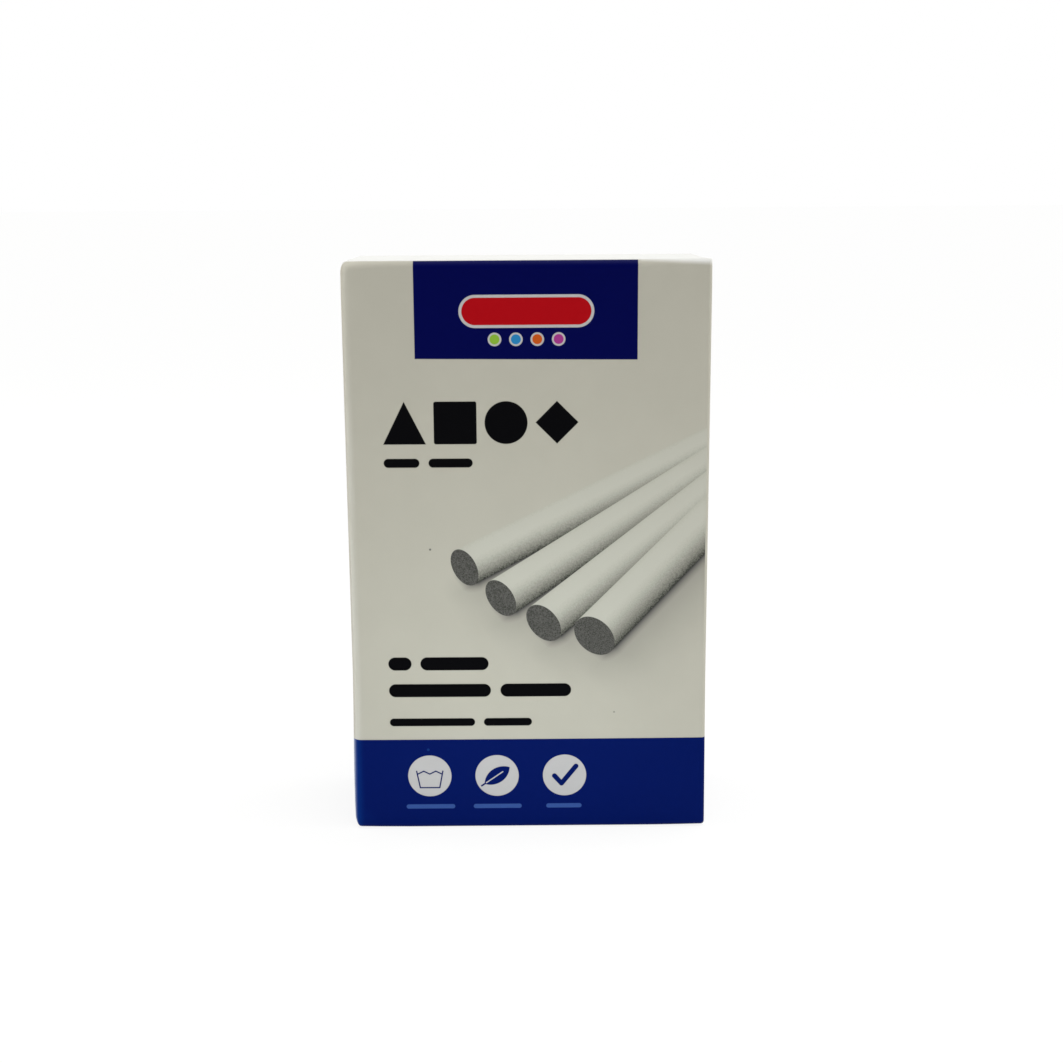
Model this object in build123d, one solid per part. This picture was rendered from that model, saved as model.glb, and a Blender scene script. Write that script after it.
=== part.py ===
"""A small folding carton of chalk sticks, glued shut at both ends, modelled as one filled solid.

The frame is millimetres with +Z up and the printed front facing -Y. The origin is the centre of the
footprint, on the surface that the carton stands on.
"""

import os

from build123d import *

# The closed carton, outside: two rows of five sticks standing upright, with a little room to spare.
carton_width = 52.0
carton_depth = 22.0
carton_height = 84.0

# The board that the blank is cut from, and the outside radius of a scored fold in it.
board_thickness = 0.4
fold_radius = 0.8

# How far each raw edge of the board stays clear of the rounding of the fold beside it: the short
# ends of the closing flaps, the free edge of the outer flap, and the edge of the lapped side seam.
flap_end_clearance = 0.1
free_edge_clearance = 0.4
seam_clearance = 0.2

flap_end_setback = fold_radius + flap_end_clearance
free_edge_setback = fold_radius + free_edge_clearance
seam_setback = fold_radius + seam_clearance

# At each end the outer flap lies on the inner flap, and both lie on the two dust flaps. So the inner
# flap's fold is one board below the end of the carton, and the dust flaps' folds are two below it.
inner_fold_drop = board_thickness
dust_fold_drop = inner_fold_drop + board_thickness

# The front panel keeps its whole width out to its corners, back to where the blank is slit behind its
# folds. The closing flaps are narrower from there on.
front_corner_depth = fold_radius + board_thickness

# The back panel is narrower than the front by one board, where its glue tab goes under the side panel.
back_width = carton_width - board_thickness
back_shift = Pos(-board_thickness / 2, 0, 0)


def panel_wrap(width):
    """Four panels round the sticks and the dust flaps of the two side panels, rounded at their folds."""
    wrapped = Box(width, carton_depth, carton_height - 2 * dust_fold_drop)
    return fillet(wrapped.edges(), fold_radius)


def sleeve():
    """The panels with their side seam, where one side panel laps over the glue tab of the back."""
    glued_under = back_shift * panel_wrap(back_width)
    past_seam = Pos(0, carton_depth / 2, 0) * Box(carton_width, 2 * seam_setback, carton_height)
    lapped_over = panel_wrap(carton_width) - past_seam
    return glued_under + lapped_over


def front_corners():
    """The front panel out to its four corners, where its side folds meet the folds of its flaps."""
    front = Box(carton_width, front_corner_depth, carton_height)
    front_edges, corner_edges, slit_edges = front.edges().group_by(Axis.Y)
    rounded = fillet(front_edges + corner_edges, fold_radius)
    return Pos(0, (front_corner_depth - carton_depth) / 2, 0) * rounded


def flap_wrap(width, height):
    """A large panel and the two flaps that fold in from its ends, with the flaps' length across."""
    side_view = Plane.YZ * RectangleRounded(carton_depth, height, fold_radius)
    return extrude(side_view, width / 2 - flap_end_setback, both=True)


def closed_ends():
    """The front panel's outer flaps, which step down at their free edge onto the inner flaps."""
    past_free_edge = Pos(0, carton_depth / 2, 0) * Box(carton_width, 2 * free_edge_setback, carton_height)
    outer_flaps = flap_wrap(carton_width, carton_height) - past_free_edge
    inner_flaps = back_shift * flap_wrap(back_width, carton_height - 2 * inner_fold_drop)
    return outer_flaps + inner_flaps


carton = Pos(0, 0, carton_height / 2) * (sleeve() + front_corners() + closed_ends())

os.makedirs("parts", exist_ok=True)
export_step(carton, "parts/carton.step")
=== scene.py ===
import math

import bmesh
import bpy
from mathutils import Matrix, Vector


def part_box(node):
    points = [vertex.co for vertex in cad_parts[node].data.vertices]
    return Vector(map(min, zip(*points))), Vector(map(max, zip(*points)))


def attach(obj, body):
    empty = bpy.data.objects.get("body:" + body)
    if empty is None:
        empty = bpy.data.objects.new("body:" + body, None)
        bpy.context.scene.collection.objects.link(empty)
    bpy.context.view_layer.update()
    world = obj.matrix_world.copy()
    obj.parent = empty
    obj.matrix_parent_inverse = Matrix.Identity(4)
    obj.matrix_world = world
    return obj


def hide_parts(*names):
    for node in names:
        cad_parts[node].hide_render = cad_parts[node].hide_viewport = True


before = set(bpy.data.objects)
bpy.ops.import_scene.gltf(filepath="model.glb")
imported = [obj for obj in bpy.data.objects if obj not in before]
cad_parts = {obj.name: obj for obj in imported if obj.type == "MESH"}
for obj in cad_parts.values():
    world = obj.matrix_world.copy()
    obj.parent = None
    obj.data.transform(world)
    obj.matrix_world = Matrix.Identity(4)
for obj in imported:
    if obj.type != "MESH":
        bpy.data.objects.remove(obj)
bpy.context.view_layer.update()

# The carton is one blank of white-lined board, cut and scored flat, then folded round its sticks and
# glued shut. Each wrap here is a run of its panels with the scored folds rounded, and the wraps joined
# are the skin of the closed carton, with the steps where flap lies on flap and the lapped side seam.
MM = 0.001
same_place = MM / 1000
board_thickness = 0.4 * MM
fold_radius = 0.8 * MM
fold_segments = 6
flap_end_setback = fold_radius + 0.1 * MM
free_edge_setback = fold_radius + 0.4 * MM
seam_setback = fold_radius + 0.2 * MM
front_corner_depth = fold_radius + board_thickness

carton_low, carton_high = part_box("carton")
carton_middle = (carton_low + carton_high) / 2
carton_half = (carton_high - carton_low) / 2

one_board_up = Vector((0, 0, board_thickness))
seam_lap = Vector((board_thickness, 0, 0))
flap_ends = Vector((flap_end_setback, 0, 0))

# A side of a wrap is its axis, with 0 for the low end of that axis and 1 for the high end.
LEFT, RIGHT, FACE, BACK = (0, 0), (0, 1), (1, 0), (1, 1)


def folded_wrap(low, high, square_sides):
    """A run of panels as one closed block. Its edges are scored folds, except round the square sides."""
    bounds = (low, high)
    wrap = bmesh.new()
    bmesh.ops.create_cube(wrap, size=1.0)
    for vert in wrap.verts:
        vert.co = [bounds[vert.co[axis] > 0][axis] for axis in range(3)]
    squares = [{vert for vert in wrap.verts if vert.co[axis] == bounds[end][axis]}
               for axis, end in square_sides]
    folds = [edge for edge in wrap.edges if not any(square.issuperset(edge.verts) for square in squares)]
    bmesh.ops.bevel(wrap, geom=folds, offset=fold_radius, offset_type="OFFSET", segments=fold_segments,
                    profile=0.5, affect="EDGES", material=-1)
    return wrap


def as_object(name, shape):
    """Puts a finished bmesh in the scene as an object at the origin."""
    mesh = bpy.data.meshes.new(name)
    shape.to_mesh(mesh)
    shape.free()
    made = bpy.data.objects.new(name, mesh)
    bpy.context.scene.collection.objects.link(made)
    return made


def cut_along(shape, place, direction):
    """Cuts every face of a shape that a plane crosses."""
    everything = shape.verts[:] + shape.edges[:] + shape.faces[:]
    bmesh.ops.bisect_plane(shape, geom=everything, dist=same_place, plane_co=place, plane_no=direction)


# The front panel runs out to its corners, and the other wraps start behind its folds.
front_high = Vector((carton_high.x, carton_low.y + front_corner_depth, carton_high.z))
front_corners = folded_wrap(carton_low, front_high, (BACK,))
behind_folds = carton_low.y + fold_radius + board_thickness / 2
wrap_low = Vector((carton_low.x, behind_folds, carton_low.z))
glued_under = folded_wrap(wrap_low + 2 * one_board_up, carton_high - seam_lap - 2 * one_board_up, (FACE,))
lapped_low = Vector((carton_middle.x, behind_folds, carton_low.z))
lapped_high = carton_high - Vector((0, seam_setback, 0))
lapped_over = folded_wrap(lapped_low + 2 * one_board_up, lapped_high - 2 * one_board_up, (LEFT, FACE, BACK))
outer_high = carton_high - Vector((0, free_edge_setback, 0))
outer_flaps = folded_wrap(wrap_low + flap_ends, outer_high - flap_ends, (LEFT, RIGHT, FACE, BACK))
inner_low = Vector((carton_low.x, carton_middle.y, carton_low.z))
inner_flaps = folded_wrap(inner_low + flap_ends + one_board_up,
                          carton_high - seam_lap - flap_ends - one_board_up, (LEFT, RIGHT, FACE))

shapes = (front_corners, glued_under, lapped_over, outer_flaps, inner_flaps)
wraps = [as_object("wrap", shape) for shape in shapes]
for wrap in wraps[1:]:
    join = wraps[0].modifiers.new("join", "BOOLEAN")
    join.operation = "UNION"
    join.solver = "EXACT"
    join.object = wrap
joined = wraps[0].evaluated_get(bpy.context.evaluated_depsgraph_get())
skin = bmesh.new()
skin.from_mesh(joined.to_mesh())
for wrap in wraps:
    bpy.data.objects.remove(wrap)
bmesh.ops.remove_doubles(skin, verts=skin.verts, dist=same_place)

# The panels are cut into a grid so that they can bow, with a line close beside every fold to keep the
# flat of a panel flat up to its rounding. On each axis, a fold lies in from the outside by the boards
# that lie over it.
panel_grid = 4 * MM
beside_fold = fold_radius + 0.15 * MM
fold_drops = ((0, board_thickness), (0,), (0, board_thickness, 2 * board_thickness))
for axis in range(3):
    direction = Vector((0, 0, 0))
    direction[axis] = 1
    low, high = carton_low[axis], carton_high[axis]
    count = round((high - low) / panel_grid)
    places = [low + (high - low) * step / count for step in range(1, count)]
    for drop in fold_drops[axis]:
        places += [low + drop + beside_fold, high - drop - beside_fold]
    for place in places:
        cut_along(skin, direction * place, direction)
skin.normal_update()

# Each face takes the front's print, the plain print of the other panels, or raw board where the blank was
# cut. Its place on the sheet for textures is its own panel's, with most room for the fine print. A panel,
# known by its axis and side, has its dots to a millimetre there, and the dots at its left and below it.
FRONT, WRAP, CUT = range(3)
cut_depth = 1.25 * board_thickness
square_on = 0.99
sheet_side = 1024
panel_places = {
    (1, -1): (12.0, 8, 8),
    (1, 1): (5.2, 8, 644),
    (0, -1): (5.2, 455, 644),
    (0, 1): (5.2, 455, 768),
    (2, 1): (5.2, 455, 892),
    (2, -1): (5.2, 735, 892),
}

# The axes that run along and up the sheet, for a panel that faces along each axis.
panel_directions = {0: (2, 1), 1: (2, 0), 2: (0, 1)}
sheet = skin.loops.layers.uv.new("OFBake")
for face in skin.faces:
    axis = max(range(3), key=lambda one: abs(face.normal[one]))
    side = 1 if face.normal[axis] > 0 else -1
    middle = face.calc_center_median()
    inside = carton_half[axis] - abs(middle[axis] - carton_middle[axis])
    if abs(face.normal[axis]) > square_on and axis != 2 and inside > cut_depth:
        face.material_index = CUT
    elif middle.y < carton_low.y + fold_radius:
        face.material_index = FRONT
    else:
        face.material_index = WRAP
    dots_per_mm, left, bottom = panel_places[axis, side]
    along, over = panel_directions[axis]
    for loop in face.loops:
        place = (loop.vert.co - carton_low) / MM * dots_per_mm
        loop[sheet].uv = ((left + place[along]) / sheet_side, (bottom + place[over]) / sheet_side)

# Packed board is never quite flat: the front and back bow out a little, and the sides less. The folded
# flaps at the foot spread it slightly.
front_bow = 0.25 * MM
side_bow = 0.06 * MM
foot_spread = 0.2 * MM
spread_height = 26 * MM
for vert in skin.verts:
    across, back, up = ((vert.co[axis] - carton_middle[axis]) / carton_half[axis] for axis in range(3))
    if abs(vert.co.y - carton_middle.y) > carton_half.y - fold_radius:
        vert.co.y += math.copysign(front_bow * (1 - across ** 2) * (1 - up ** 2), back)
    if abs(vert.co.x - carton_middle.x) > carton_half.x - fold_radius:
        vert.co.x += math.copysign(side_bow * (1 - back ** 2) * (1 - up ** 2), across)
    above_foot = min(1.0, (vert.co.z - carton_low.z) / spread_height)
    vert.co.x += across * foot_spread * (1 - above_foot ** 2) ** 2

# Handling has marked the front's corners. The folds alone would round each by the fold's radius both ways,
# and here each, known by its side and end, is pushed to its own width and height of rounding and shortened
# a little. That dies out behind the front panel.
corner_reach = 3.0 * MM
worn_corners = (
    (-1, 1, 0.6 * MM, 1.6 * MM, 0.16 * MM),
    (1, 1, 0.33 * MM, 0.17 * MM, 0),
    (-1, -1, 0.8 * MM, 2.1 * MM, 0.1 * MM),
    (1, -1, 0.5 * MM, 0.5 * MM, 0.1 * MM),
)


def nearness(inset, full, none):
    """1 up to the full distance, falling to 0 at the other."""
    return min(1.0, max(0.0, (none - inset) / (none - full)))


def rounded_in(drop, width, height):
    """How far in the side of a corner with this rounding is, so far from the corner's end."""
    rise = min(1.0, max(0.0, drop / height))
    return width * (1 - math.sqrt(1 - (1 - rise) ** 2))


for side, end, width, height, shortened in worn_corners:
    for vert in skin.verts:
        inset = carton_half.x - side * (vert.co.x - carton_middle.x)
        drop = carton_half.z - end * (vert.co.z - carton_middle.z)
        front = nearness(vert.co.y - carton_low.y, front_corner_depth, 2 * front_corner_depth)
        inwards = rounded_in(drop, width, height) - rounded_in(drop, fold_radius, fold_radius)
        onwards = shortened * nearness(drop, 0, corner_reach)
        vert.co.x -= side * inwards * nearness(inset, fold_radius, corner_reach) * front
        vert.co.z -= end * onwards * nearness(inset, fold_radius, 2 * corner_reach) * front

# The front's folds differ too: the left one and the top one are soft, and the right one is tight. At the
# foot they are alike. Each, known by its axis and side, has its own rounding.
front_folds = ((0, -1, 1.3 * MM), (0, 1, 0.6 * MM), (2, 1, 1.2 * MM))
alike_below, differ_above = 1.0 * MM, 6.0 * MM


def redrawn(inset, rounding):
    """Where a point so far in from an edge goes when the rounding there changes to this one."""
    if inset < fold_radius:
        return inset * rounding / fold_radius
    stretch = (corner_reach - rounding) / (corner_reach - fold_radius)
    return rounding + (inset - fold_radius) * stretch


for axis, side, fold_rounding in front_folds:
    for vert in skin.verts:
        inset = carton_half[axis] - side * (vert.co[axis] - carton_middle[axis])
        depth = vert.co.y - carton_low.y
        if max(inset, depth) < corner_reach:
            alike = nearness(vert.co.z - carton_low.z, alike_below, differ_above)
            rounding = fold_radius * alike + fold_rounding * (1 - alike)
            inwards = (redrawn(inset, rounding) - inset) * nearness(depth, fold_radius, front_corner_depth)
            backwards = (redrawn(depth, rounding) - depth) * nearness(inset, fold_radius, corner_reach)
            vert.co[axis] -= side * inwards
            vert.co.y += backwards

cut_edge_angle = math.radians(40)
for face in skin.faces:
    face.smooth = True
for edge in skin.edges:
    edge.smooth = edge.calc_face_angle(0) < cut_edge_angle
skin.normal_update()

# Two marks run down the left front fold. The first is strongest at its side and less and less towards the
# front: on the tint it is a painted highlight, and on the band the ink rubbed thin. The second lies on the
# fold's outer half, where the surface has turned well to the side: on the tint it is a painted shade, and
# on the band the ink worn right through. A point is on the fold while its normal is neither straight to the
# front nor square to it.
highlight_and_rub_reach = 1.4 * MM
fold_normals = (-0.99, -0.1)
turned_full, turned_none = 0.85, 0.68
fold_highlight_and_rub = skin.verts.layers.float.new("fold_highlight_and_rub")
fold_shade_and_wear = skin.verts.layers.float.new("fold_shade_and_wear")
for vert in skin.verts:
    inset = vert.co.x - carton_low.x
    depth = vert.co.y - carton_low.y
    vert[fold_highlight_and_rub] = nearness(inset, 0, highlight_and_rub_reach) * nearness(depth, fold_radius, front_corner_depth)
    if vert.normal.x < 0 and fold_normals[0] < vert.normal.y < fold_normals[1]:
        vert[fold_shade_and_wear] = nearness(-vert.normal.x, turned_full, turned_none)
carton = as_object("printed_carton", skin)

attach(carton, "root")
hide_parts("carton")

# The board is coated white on the outside, printed by offset in a pale grey tint, dark blue and black,
# and finished with a satin varnish. That gives even fields of colour with crisp edges, a soft sheen and
# a faint unevenness of the coating. Each noise is one over its size in mm, its detail and its roughness.
tint_mottle = (1 / 7.0, 3.0, 0.5)
tint_shades = ("#b3b0a3", "#b9b6a9")
varnish_cloud = (1 / 2.5, 3.0, 0.6)
varnish_roughness = (0.38, 0.48)
varnish_specular = 0.03
coating_grain = (1 / 0.35, 3.0, 0.6)
coating_strength = 0.25
coating_depth = 0.02 * MM
noise_span = (0.3, 0.7)  # where most of a noise lies


def linear(colour):
    """An sRGB hex colour as linear numbers, as the shaders take it."""
    parts = [int(colour[start:start + 2], 16) / 255 for start in (1, 3, 5)]
    return (*(part / 12.92 if part <= 0.04045 else ((part + 0.055) / 1.055) ** 2.4 for part in parts), 1)


def add(tree, kind, *inputs, stops=(), **settings):
    """Adds a node, sets it, feeds its inputs in order and gives its first output. Stops fill a ramp."""
    node = tree.nodes.new("ShaderNode" + kind)
    for name, value in settings.items():
        setattr(node, name, value)
    for index, (place, colour) in enumerate(stops):
        ramp = node.color_ramp.elements
        stop = ramp[index] if index < 2 else ramp.new(place)
        stop.position = place
        stop.color = linear(colour)
    sockets = [socket for socket in node.inputs if socket.enabled]
    for socket, value in zip(sockets, inputs):
        if isinstance(value, bpy.types.NodeSocket):
            tree.links.new(value, socket)
        elif value is not None:
            socket.default_value = value
    return next(socket for socket in node.outputs if socket.enabled)


def millimetres(tree):
    """The place on the carton in millimetres, from the carton's own origin."""
    metres = add(tree, "TexCoord").node.outputs["Object"]
    return add(tree, "VectorMath", metres, (1 / MM, 1 / MM, 1 / MM), operation="MULTIPLY")


def printed_board(name, layers):
    """Varnished carton board: its tint, the layers of print over it, its sheen and its coating."""
    board = bpy.data.materials.new(name)
    board.use_nodes = True
    tree = board.node_tree
    shader = tree.nodes["Principled BSDF"]
    place = millimetres(tree)

    mottle = add(tree, "TexNoise", place, *tint_mottle)
    darker, lighter = tint_shades
    colour = add(tree, "Mix", mottle, linear(darker), linear(lighter), data_type="RGBA")
    for layer in layers:
        colour = layer(tree, place, colour)
    tree.links.new(colour, shader.inputs["Base Color"])

    cloud = add(tree, "TexNoise", place, *varnish_cloud)
    sheen = add(tree, "MapRange", cloud, *noise_span, *varnish_roughness)
    tree.links.new(sheen, shader.inputs["Roughness"])
    grain = add(tree, "TexNoise", place, *coating_grain)
    bump = add(tree, "Bump", coating_strength, coating_depth, None, grain)
    tree.links.new(bump, shader.inputs["Normal"])
    shader.inputs["Specular IOR Level"].default_value = varnish_specular
    return board


# Print is laid in flat fields of ink with crisp edges, measured in millimetres across and up the front.
# A boundless field reaches past the edges of any panel.
ink_edge = 0.08
beyond = 100
boundless = (2 * beyond, 2 * beyond)
ink_blue = linear("#001356")
ink_deep_blue = linear("#000446")
ink_black = linear("#040406")
pale_grey = linear("#b8b6b5")
# Bare white board, made lighter than the unprinted discs as painted light from above.
bare_board_painted_light = linear("#d9d9d5")


def patch(tree, place, centre, size, corner=0.0, turn=0.0, edge=ink_edge):
    """Where a field with round corners is printed, from 0 to 1."""
    corner = max(corner, edge / 2)
    turned = (0, -math.radians(turn), 0)
    at = add(tree, "Mapping", place, (centre[0], 0, centre[1]), turned, vector_type="TEXTURE")
    apart = add(tree, "VectorMath", at, operation="ABSOLUTE")
    core = (size[0] / 2 - corner, beyond, size[1] / 2 - corner)
    past_core = add(tree, "VectorMath", apart, core, operation="SUBTRACT")
    past_core = add(tree, "VectorMath", past_core, (0, 0, 0), operation="MAXIMUM")
    away = add(tree, "VectorMath", past_core, operation="LENGTH")
    return add(tree, "Math", away, -1 / edge, corner / edge + 0.5, operation="MULTIPLY_ADD", use_clamp=True)


def disc(tree, place, centre, radius):
    """Where a round field is printed, from 0 to 1."""
    return patch(tree, place, centre, (2 * radius, 2 * radius), radius)


def stroke(tree, place, start, end, width):
    """Where a straight line with round ends is printed, from 0 to 1."""
    run = Vector(end) - Vector(start)
    centre = (Vector(start) + Vector(end)) / 2
    turn = math.degrees(math.atan2(run.y, run.x))
    return patch(tree, place, centre, (run.length + width, width), width / 2, turn)


def facet(tree, place, corners):
    """Where a field with straight sides is printed, from 0 to 1. Its corners run anticlockwise."""
    sides = []
    for start, end in zip(corners, corners[1:] + corners[:1]):
        run = (Vector(end) - Vector(start)).normalized()
        line = run.x * start[1] - run.y * start[0]
        height = add(tree, "VectorMath", place, (-run.y, 0, run.x), operation="DOT_PRODUCT")
        sides.append(add(tree, "Math", height, 1 / ink_edge, 0.5 - line / ink_edge,
                         operation="MULTIPLY_ADD", use_clamp=True))
    inside = sides[0]
    for side in sides[1:]:
        inside = add(tree, "Math", inside, side, operation="MINIMUM")
    return inside


def printed(tree, colour, ink, *fields):
    """The colour with one ink over it in each of the fields."""
    covered = fields[0]
    for field in fields[1:]:
        covered = add(tree, "Math", covered, field, operation="MAXIMUM")
    return add(tree, "Mix", covered, colour, ink, data_type="RGBA")


# At the left front fold a painted highlight makes the tint paler in upright streaks, less so near the top,
# and a painted shade darkens a line down the fold's outer half, where the surface turns to the side.
streak_scale = (1 / 0.35, 1 / 0.35, 1 / 7.0)
streak_noise = (1.0, 2.0, 0.5)
streak_cover = (0.5, 1.0)
highlight_heights = (55, 75)
highlight_covers = (1.0, 0.35)
fold_shade_cover = 0.45
# A painted highlight on the tint at the left front fold.
highlight_tint = linear("#cdccc4")
# A painted shade on the tint down the fold's outer half.
fold_shade_tint = linear("#9c9488")


def left_fold(tree, place, colour):
    rub_and_highlight = add(tree, "Attribute", attribute_name="fold_highlight_and_rub").node.outputs["Fac"]
    stretched = add(tree, "VectorMath", place, streak_scale, operation="MULTIPLY")
    streaks = add(tree, "TexNoise", stretched, *streak_noise)
    streaks = add(tree, "MapRange", streaks, *noise_span, *streak_cover)
    rub_and_highlight = add(tree, "Math", rub_and_highlight, streaks, operation="MULTIPLY")
    up = add(tree, "SeparateXYZ", place).node.outputs["Z"]
    lower = add(tree, "MapRange", up, *highlight_heights, *highlight_covers)
    rub_and_highlight = add(tree, "Math", rub_and_highlight, lower, operation="MULTIPLY")
    colour = printed(tree, colour, highlight_tint, rub_and_highlight)
    shade_and_wear = add(tree, "Attribute", attribute_name="fold_shade_and_wear").node.outputs["Fac"]
    shade_and_wear = add(tree, "Math", shade_and_wear, fold_shade_cover, operation="MULTIPLY")
    return printed(tree, colour, fold_shade_tint, shade_and_wear)


# A blue band runs round the foot of all four panels. At the left front fold its ink is rubbed thin, and
# scuffed through to a greyish blue along the outer half.
band_top = 14.0
rubbed_blue = linear("#022c74")
worn_blue = linear("#8e99b2")
scuff_noise = (1 / 1.3, 4.0, 0.65)
scuff_cover = (0.7, 1.0)


def foot_band(tree, place, colour):
    rub_and_highlight = add(tree, "Attribute", attribute_name="fold_highlight_and_rub").node.outputs["Fac"]
    ink = printed(tree, ink_blue, rubbed_blue, rub_and_highlight)
    shade_and_wear = add(tree, "Attribute", attribute_name="fold_shade_and_wear").node.outputs["Fac"]
    scuffs = add(tree, "TexNoise", place, *scuff_noise)
    scuffs = add(tree, "MapRange", scuffs, *noise_span, *scuff_cover)
    shade_and_wear = add(tree, "Math", scuffs, shade_and_wear, operation="MULTIPLY", use_clamp=True)
    ink = printed(tree, ink, worn_blue, shade_and_wear)
    return printed(tree, colour, ink, patch(tree, place, (0, band_top - beyond), boundless))


# The closing flaps are bare white board, painted lighter than the unprinted discs on the front, as painted
# light from above. The white begins in their folds, and at the front's top a painted highlight in the same
# white comes lower towards the right, with a soft edge.
front_print_ends = (0.05, 83.89)
wrap_print_ends = (0.9, 83.1)
slant_from = (15.9, 83.9)
slant = 3.4
slant_edge = 0.6


def unprinted_ends(tree, place, foot, head):
    """Where nothing is printed, below the one height and above the other, as two fields."""
    below = patch(tree, place, (0, foot - beyond), boundless)
    above = patch(tree, place, (0, head + beyond), boundless)
    return below, above


def front_flaps_and_highlight(tree, place, colour):
    tilt = math.radians(slant)
    right = Vector((math.cos(tilt), -math.sin(tilt))) * beyond
    up = Vector((math.sin(tilt), math.cos(tilt))) * beyond
    # A painted highlight on the top fold, in bare white, coming lower towards the right.
    highlight_field = patch(tree, place, Vector(slant_from) + right + up, boundless, 0, -slant, slant_edge)
    return printed(tree, colour, bare_board_painted_light, *unprinted_ends(tree, place, *front_print_ends), highlight_field)


def closing_flaps(tree, place, colour):
    return printed(tree, colour, bare_board_painted_light, *unprinted_ends(tree, place, *wrap_print_ends))


# The picture on the front shows four round sticks fanned out, light against the tint, with a stippled
# shade along their lower sides, dark cut ends and a soft shadow. They run off at the right-hand fold. The
# stipple is drawn coarser than real printing dots, which wouldn't show.

# Each stick has its near end, its angle, half its width there, and how narrow its cut end looks.
fanned_sticks = (
    ((-9.2, 40.2), 27, 2.9, 0.58),
    ((-4.0, 35.6), 33, 3.0, 0.60),
    ((2.2, 31.8), 39, 3.15, 0.64),
    ((9.6, 29.8), 46, 3.4, 0.70),
)
stick_taper = 0.018
picture_right = 25.6

# The shades of a stick run from its lower side to its upper one, with the two ends given first.
stick_shades = (
    (0.0, "#3a3a36"), (1.0, "#b6b5a8"),
    (0.06, "#5e5e56"), (0.16, "#818077"), (0.32, "#a09f94"), (0.48, "#b6b5a9"), (0.62, "#bebdb1"),
    (0.9, "#bcbbaf"),
)
cut_end_dark = linear("#3e3e3a")
cut_end_light = linear("#605f5b")
any_depth = 1e6  # so large that how deep a place lies doesn't count
stipple_noise = (1 / 0.18, 1.0, 0.5)
stipple_swing = 0.11
speckle_contrast = 10.0

# A close dark shadow and a wide faint one: the reach below the stick, how fast it fades, how fast it rises
# across the stick and along it, where it stands at the near end, and how dark it is.
stick_shadows = (
    (8.0, 8.0, 4.0, 1.0, 0.75, 0.92),
    (12.0, 1.5, 1.0, 0.5, 0.8, 0.26),
)
shadow_ink = linear("#2b2b31")


def drawn_stick(tree, place, colour, stipple, near_end, angle, half_width, narrowness):
    """One stick over what lies under it: its shadow, its shaded length and its cut end."""
    turned = (0, -math.radians(angle), 0)
    centre = (near_end[0], 0, near_end[1])
    at = add(tree, "Mapping", place, centre, turned, vector_type="TEXTURE")
    along = add(tree, "SeparateXYZ", at)
    across = along.node.outputs["Z"]
    half = add(tree, "Math", along, -stick_taper, half_width, operation="MULTIPLY_ADD")
    side = add(tree, "Math", across, half, operation="DIVIDE")

    past_edge = add(tree, "Math", across, half, operation="ADD")
    shadows = []
    for reach, fade, across_rise, along_rise, end_level, darkness in stick_shadows:
        near = add(tree, "Math", past_edge, 1 / reach, 1.0, operation="MULTIPLY_ADD", use_clamp=True)
        near = add(tree, "Math", near, fade, operation="POWER")
        below = add(tree, "Math", side, -across_rise, operation="MULTIPLY", use_clamp=True)
        begun = add(tree, "Math", along, along_rise / half_width, end_level, operation="MULTIPLY_ADD",
                    use_clamp=True)
        shadow = add(tree, "Math", near, below, operation="MULTIPLY")
        shadow = add(tree, "Math", shadow, begun, operation="MULTIPLY")
        shadows.append(add(tree, "Math", shadow, darkness, operation="MULTIPLY"))
    colour = printed(tree, colour, shadow_ink, *shadows)

    shade = add(tree, "Math", side, 0.5, 0.5, operation="MULTIPLY_ADD")
    shade = add(tree, "Math", shade, stipple, operation="ADD")
    tone = add(tree, "ValToRGB", shade, stops=stick_shades)
    steep = half_width / ink_edge
    inside = add(tree, "Math", side, operation="ABSOLUTE")
    inside = add(tree, "Math", inside, -steep, steep + 0.5, operation="MULTIPLY_ADD", use_clamp=True)
    begun = add(tree, "Math", along, 1 / ink_edge, 0.5, operation="MULTIPLY_ADD", use_clamp=True)
    inside = add(tree, "Math", inside, begun, operation="MULTIPLY")
    colour = printed(tree, colour, tone, inside)

    oval = (half_width * narrowness, any_depth, half_width)
    at = add(tree, "Mapping", place, centre, turned, oval, vector_type="TEXTURE")
    away = add(tree, "VectorMath", at, operation="LENGTH")
    cut = add(tree, "Math", away, -steep, steep + 0.5, operation="MULTIPLY_ADD", use_clamp=True)
    speckle = add(tree, "Math", stipple, speckle_contrast, 0.5, operation="MULTIPLY_ADD", use_clamp=True)
    cut_end = printed(tree, cut_end_dark, cut_end_light, speckle)
    return printed(tree, colour, cut_end, cut)


def stick_picture(tree, place, colour):
    noise = add(tree, "TexNoise", place, *stipple_noise)
    stipple = add(tree, "MapRange", noise, 0.0, 1.0, -stipple_swing, stipple_swing)
    picture = colour
    for near_end, angle, half_width, narrowness in fanned_sticks:
        picture = drawn_stick(tree, place, picture, stipple, near_end, angle, half_width, narrowness)
    return printed(tree, colour, picture, patch(tree, place, (picture_right - beyond, 0), boundless))


# The heading is a row of four solid black shapes, and below it are rows of bars with round ends. A row has
# its height, its weight, and where each of its bars starts and ends.
heading_left = -20.5
heading_foot = 58.2
heading_size = 6.1
heading_step = 7.23
square_corner = 0.3
bar_rows = (
    (55.5, 1.3, ((-20.5, -15.4), (-14.1, -7.8))),
    (25.7, 2.0, ((-20.6, -17.2), (-15.9, -5.9))),
    (21.6, 2.0, ((-20.6, -5.6), (-4.2, 6.2))),
    (16.7, 1.2, ((-20.6, -8.0), (-6.7, 0.4))),
)


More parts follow.
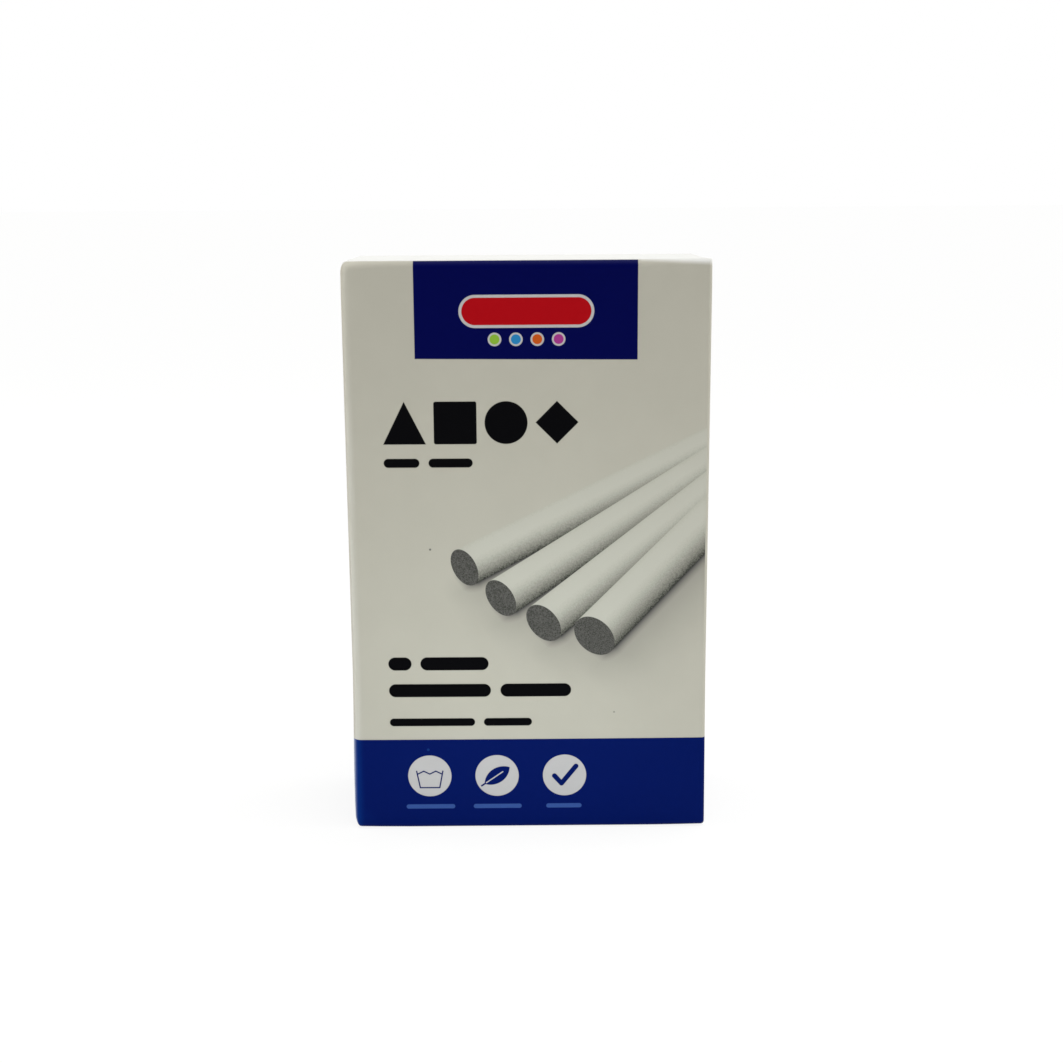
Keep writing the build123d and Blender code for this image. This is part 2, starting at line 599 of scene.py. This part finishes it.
def headings(tree, place, colour):
    half = heading_size / 2
    low, middle, high = (heading_foot + half * step for step in range(3))
    centres = [heading_left + half + heading_step * step for step in range(4)]
    triangle_at, square_at, disc_at, diamond_at = centres
    black = [
        facet(tree, place, ((triangle_at - half, low), (triangle_at + half, low), (triangle_at, high))),
        patch(tree, place, (square_at, middle), (heading_size, heading_size), square_corner),
        disc(tree, place, (disc_at, middle), half),
        facet(tree, place, ((diamond_at, low), (diamond_at + half, middle), (diamond_at, high),
                            (diamond_at - half, middle))),
    ]
    for height, weight, bars in bar_rows:
        for start, end in bars:
            inset = weight / 2
            black.append(stroke(tree, place, (start + inset, height), (end - inset, height), weight))
    return printed(tree, colour, ink_black, *black)


# A deep blue tab hangs from the top fold, with its foot a little askew. It holds a red lozenge and a row
# of coloured dots, white-edged.
tab_left, tab_right = (-15.75, 70.33), (15.6, 70.05)
lozenge_height = 76.9
lozenge_length = 18.2
lozenge_weight = 3.8
lozenge_red = linear("#aa0a14")
lozenge_edge = 0.4
dot_height = 73.0
dot_radius = 0.7
dot_edge = 0.25
dots = ((-4.5, "#86b03a"), (-1.5, "#2a7fb4"), (1.5, "#c2541b"), (4.5, "#a03a86"))


def tab(tree, place, colour):
    colour = printed(tree, colour, ink_deep_blue, facet(tree, place, (
        tab_left, tab_right, (tab_right[0], beyond), (tab_left[0], beyond))))
    edges = [patch(tree, place, (0, lozenge_height),
                   (lozenge_length + 2 * lozenge_edge, lozenge_weight + 2 * lozenge_edge),
                   lozenge_weight / 2 + lozenge_edge)]
    edges += [disc(tree, place, (across, dot_height), dot_radius + dot_edge) for across, ink in dots]
    colour = printed(tree, colour, pale_grey, *edges)
    lozenge = patch(tree, place, (0, lozenge_height), (lozenge_length, lozenge_weight), lozenge_weight / 2)
    colour = printed(tree, colour, lozenge_red, lozenge)
    for across, ink in dots:
        colour = printed(tree, colour, linear(ink), disc(tree, place, (across, dot_height), dot_radius))
    return colour


# Three unprinted discs in the band carry a basin of water, a leaf and a tick, with a pale blue bar under
# each. The leaf is where two circles overlap, and its stem and vein begin and end at shares of half its
# length.
badge_height = 8.28
badge_radius = 3.22
basin_at, leaf_at, tick_at = -14.87, -4.85, 5.20
basin_line = ((-1.95, 0.75), (-1.45, -1.85), (1.45, -1.85), (1.95, 0.75))
water_line = ((-1.8, 0.3), (-0.9, 0.75), (0.0, 0.3), (0.9, 0.75), (1.8, 0.3))
basin_weight = 0.2
tick_line = ((-1.5, -0.1), (-0.45, -1.3), (1.7, 1.4))
tick_weight = 0.75
leaf_turn = math.radians(35)
leaf_round = 2.875
leaf_offset = 1.725
leaf_half = math.sqrt(leaf_round ** 2 - leaf_offset ** 2)
stem_shares = (-0.8, -1.22)
stem_weight = 0.26
vein_shares = (-0.85, 0.45)
vein_weight = 0.16
badge_bars = ((-18.1, -11.5), (-8.05, -1.55), (2.8, 7.4))
badge_bar_height = 3.45
badge_bar_weight = 0.68
badge_bar_blue = linear("#34508f")


def drawn_line(tree, place, across, points, width):
    """The strokes of a bent line on the badge at this place."""
    middle = Vector((across, badge_height))
    ends = [middle + Vector(point) for point in points]
    return [stroke(tree, place, start, end, width) for start, end in zip(ends, ends[1:])]


def badges(tree, place, colour):
    white = [disc(tree, place, (across, badge_height), badge_radius)
             for across in (basin_at, leaf_at, tick_at)]
    colour = printed(tree, colour, pale_grey, *white)

    leaf_along = Vector((math.cos(leaf_turn), math.sin(leaf_turn)))
    leaf_across = Vector((-leaf_along.y, leaf_along.x)) * leaf_offset
    leaf_middle = Vector((leaf_at, badge_height))
    leaf = add(tree, "Math", disc(tree, place, leaf_middle + leaf_across, leaf_round),
               disc(tree, place, leaf_middle - leaf_across, leaf_round), operation="MINIMUM")
    stem_ends = [leaf_along * share * leaf_half for share in stem_shares]
    blue = drawn_line(tree, place, leaf_at, stem_ends, stem_weight) + [leaf]
    blue += drawn_line(tree, place, basin_at, basin_line, basin_weight)
    blue += drawn_line(tree, place, basin_at, water_line, basin_weight)
    blue += drawn_line(tree, place, tick_at, tick_line, tick_weight)
    colour = printed(tree, colour, ink_blue, *blue)
    vein_ends = [leaf_along * share * leaf_half for share in vein_shares]
    vein = drawn_line(tree, place, leaf_at, vein_ends, vein_weight)
    colour = printed(tree, colour, pale_grey, *vein)

    bars = [stroke(tree, place, (start, badge_bar_height), (end, badge_bar_height), badge_bar_weight)
            for start, end in badge_bars]
    return printed(tree, colour, badge_bar_blue, *bars)


# Three specks of dirt are on the front, two on the tint and a faint one on the band. Each has its place
# across and up the front, its radius and its colour.
specks = (
    (-14.13, 42.88, 0.16, "#6b6b66"),
    (12.53, 18.10, 0.14, "#8d8d84"),
    (-15.02, 12.40, 0.2, "#10306e"),
)


def dirt(tree, place, colour):
    for across, up, radius, tone in specks:
        colour = printed(tree, colour, linear(tone), disc(tree, place, (across, up), radius))
    return colour


carton.data.materials.append(printed_board("offset_printed_board_front", (
    left_fold, stick_picture, headings, foot_band, tab, badges, dirt, front_flaps_and_highlight)))
carton.data.materials.append(printed_board("offset_printed_board_wrap", (foot_band, closing_flaps)))

# Raw board shows only where the blank was cut. It is a greyish core of pressed fibres, matt and a little
# rough, with a fine line of painted shade where the outer flap's edge lies on the inner flap's. The fibres
# are drawn coarser than real ones, which wouldn't show.
fibre_noise = (1 / 0.15, 3.0, 0.6)
fibre_dark, fibre_light = linear("#b3aea0"), linear("#d9d6cb")
fibre_strength = 0.5
fibre_depth = 0.03 * MM
# Painted shade in the slit between the two flaps' edges.
joint_shade_colour = linear("#57534a")
joint_full, joint_none = 0.02, 0.07
cut_roughness = 0.9
cut_specular = 0.1
cut_board = bpy.data.materials.new("cut_board_edge")
cut_board.use_nodes = True
tree = cut_board.node_tree
shader = tree.nodes["Principled BSDF"]
place = millimetres(tree)
fibres = add(tree, "TexNoise", place, *fibre_noise)
colour = add(tree, "Mix", fibres, fibre_dark, fibre_light, data_type="RGBA")
up = add(tree, "SeparateXYZ", place).node.outputs["Z"]
from_middle = add(tree, "Math", up, carton_middle.z / MM, operation="SUBTRACT")
from_middle = add(tree, "Math", from_middle, operation="ABSOLUTE")
from_joint = add(tree, "Math", from_middle, (carton_half.z - board_thickness) / MM, operation="SUBTRACT")
from_joint = add(tree, "Math", from_joint, operation="ABSOLUTE")
# The painted shade of that slit, darkest at its middle.
joint_shade = add(tree, "MapRange", from_joint, joint_full, joint_none, 1.0, 0.0)
colour = add(tree, "Mix", joint_shade, colour, joint_shade_colour, data_type="RGBA")
tree.links.new(colour, shader.inputs["Base Color"])
bump = add(tree, "Bump", fibre_strength, fibre_depth, None, fibres)
tree.links.new(bump, shader.inputs["Normal"])
shader.inputs["Roughness"].default_value = cut_roughness
shader.inputs["Specular IOR Level"].default_value = cut_specular
carton.data.materials.append(cut_board)

# The carton stands on a broad plain floor, painted matt white. The floor takes the carton's shadow, and to
# the camera, to gloss and to glass it also glows, so that it ends up nearly pure white.
floor_half = 30.0
floor_white = linear("#f2f2f0")
floor_glow = 0.86
pure_white = linear("#ffffff")


def looked_at(tree):
    """1 for what the camera, a reflection or glass sees, and 0 for the light that reaches a surface."""
    ray = add(tree, "LightPath").node.outputs
    seen = add(tree, "Math", ray["Is Camera Ray"], ray["Is Glossy Ray"], operation="MAXIMUM")
    return add(tree, "Math", seen, ray["Is Transmission Ray"], operation="MAXIMUM")


floor_mesh = bmesh.new()
bmesh.ops.create_grid(floor_mesh, x_segments=1, y_segments=1, size=floor_half)
floor = as_object("floor", floor_mesh)
floor_paint = bpy.data.materials.new("matt_white_floor")
floor_paint.use_nodes = True
tree = floor_paint.node_tree
floor.data.materials.append(floor_paint)
lit = add(tree, "BsdfDiffuse", floor_white)
glow = add(tree, "Emission", pure_white, 1.0)
share = add(tree, "Math", looked_at(tree), floor_glow, operation="MULTIPLY")
mixed = add(tree, "MixShader", share, lit, glow)
tree.links.new(mixed, tree.nodes["Material Output"].inputs["Surface"])

# The studio light is soft: a broad lamp overhead, and white cards out of view that throw light back, a
# small one low in front of the carton's foot and one at each side. A card has its place in metres, the way
# it faces, its width and height, its power and its tint.
key_strength = 2.76
key_spread = math.radians(60)
key_direction = Vector((-0.22, 0.02, -0.97))
cards = (
    ("front_card", (-0.003, -0.071, 0.011), (0, 1, 0), 0.02, 0.02, 0.0128, "#ecf8ff"),
    ("left_card", (-0.40, 0.05, 0.20), (1, 0, -0.3), 0.40, 0.40, 1.2, "#ffffff"),
    ("right_card", (0.40, 0.05, 0.20), (-1, 0, -0.3), 0.40, 0.40, 0.7, "#ffffff"),
)
key = bpy.data.objects.new("key", bpy.data.lights.new("key", "SUN"))
key.data.energy = key_strength
key.data.angle = key_spread
key.rotation_euler = key_direction.to_track_quat("-Z", "Y").to_euler()
bpy.context.scene.collection.objects.link(key)
for name, location, facing, width, height, power, tone in cards:
    card = bpy.data.objects.new(name, bpy.data.lights.new(name, "AREA"))
    card.data.shape = "RECTANGLE"
    card.data.size = width
    card.data.size_y = height
    card.data.energy = power
    card.data.color = linear(tone)[:3]
    card.location = location
    card.rotation_euler = Vector(facing).to_track_quat("-Z", "Y").to_euler()
    card.visible_camera = False
    card.visible_glossy = False
    bpy.context.scene.collection.objects.link(card)

# The studio's walls are plain white. They give a weak even light from all sides, and the camera, gloss
# and glass see them at full white.
wall_light = 0.19
world = bpy.data.worlds.new("studio")
bpy.context.scene.world = world
world.use_nodes = True
tree = world.node_tree
strength = add(tree, "MapRange", looked_at(tree), 0, 1, wall_light, 1.0)
background = tree.nodes["Background"]
background.inputs["Color"].default_value = pure_white
tree.links.new(strength, background.inputs["Strength"])

# The camera looks from where the photograph was taken, a little above the carton and down on it. Its
# angles, in degrees, are how far it looks down and to the right, and how far it leans.
camera_place = Vector((-0.273, -227.287, 91.602)) * MM
camera_angles = (12.057, 0.209, -0.377)
camera = bpy.data.objects.new("camera", bpy.data.cameras.new("camera"))
bpy.context.scene.collection.objects.link(camera)
camera.data.lens = 52
camera.data.sensor_width = 36
camera.data.clip_start = 0.01
pitch, yaw, roll = (math.radians(angle) for angle in camera_angles)
forward = Vector((math.sin(yaw) * math.cos(pitch), math.cos(yaw) * math.cos(pitch), -math.sin(pitch)))
right = Vector((math.cos(yaw), -math.sin(yaw), 0))
up = right.cross(forward)
rolled_right = right * math.cos(roll) + up * math.sin(roll)
rolled_up = up * math.cos(roll) - right * math.sin(roll)
turn = Matrix((rolled_right, rolled_up, -forward)).transposed()
camera.matrix_world = Matrix.Translation(camera_place) @ turn.to_4x4()
bpy.context.scene.camera = camera
bpy.context.scene.view_settings.view_transform = "Standard"
